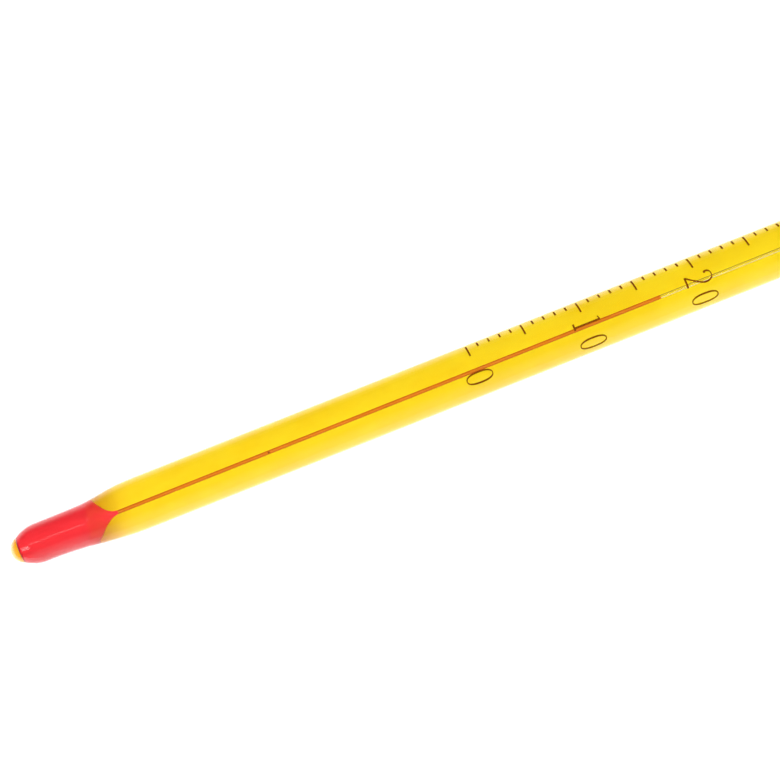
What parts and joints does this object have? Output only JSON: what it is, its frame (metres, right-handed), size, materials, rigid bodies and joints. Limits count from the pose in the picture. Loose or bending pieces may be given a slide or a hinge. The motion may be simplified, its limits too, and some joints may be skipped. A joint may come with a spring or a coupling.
{
  "type": "glass spirit thermometer",
  "caption": "Slim glass stem thermometer with a red spirit bulb and thread, a yellow enamelled back and a printed Celsius scale.",
  "frame": {"origin": "on the surface that the thermometer lies on, under the middle of its length", "axes": "+X along the stem from the bulb to the sealed top, +Z out through the side that is read, with the yellow back down"},
  "size_m": [0.155, 0.006, 0.0061],
  "materials": {
    "clear_glass": "clear drawn soda-lime glass",
    "amber_glass": "amber glass bead",
    "yellow_enamel": "opaque yellow enamel fired into the glass",
    "red_spirit": "dyed spirit",
    "scale_ink": "fired brown-black ink"
  },
  "bodies": {
    "glass": {"bulb_glass": "clear_glass", "bulb_spirit": "red_spirit", "bulb_tip_bead": "amber_glass", "enamel_back": "yellow_enamel", "numeral_00_ones": "scale_ink", "numeral_10_ones": "scale_ink", "numeral_10_tens": "scale_ink", "numeral_20_ones": "scale_ink", "numeral_20_tens": "scale_ink", "numeral_30_ones": "scale_ink", "numeral_30_tens": "scale_ink", "numeral_40_ones": "scale_ink", "numeral_40_tens": "scale_ink", "numeral_50_ones": "scale_ink", "numeral_50_tens": "scale_ink", "scale_line_00": "scale_ink", "scale_line_05": "scale_ink", "scale_line_10": "scale_ink", "scale_line_15": "scale_ink", "scale_line_20": "scale_ink", "scale_line_25": "scale_ink", "scale_line_30": "scale_ink", "scale_line_35": "scale_ink", "scale_line_40": "scale_ink", "scale_line_45": "scale_ink", "scale_line_50": "scale_ink", "stem_glass": "clear_glass"},
    "spirit": {"spirit_thread": "red_spirit", "spirit_meniscus": "red_spirit"}
  },
  "joints": [
    {"name": "spirit_rise", "type": "slide", "parent": "glass", "child": "spirit", "axis": [1, 0, 0], "range_m": [-0.02209, 0.04516], "deforming": ["spirit_thread"]}
  ]
}
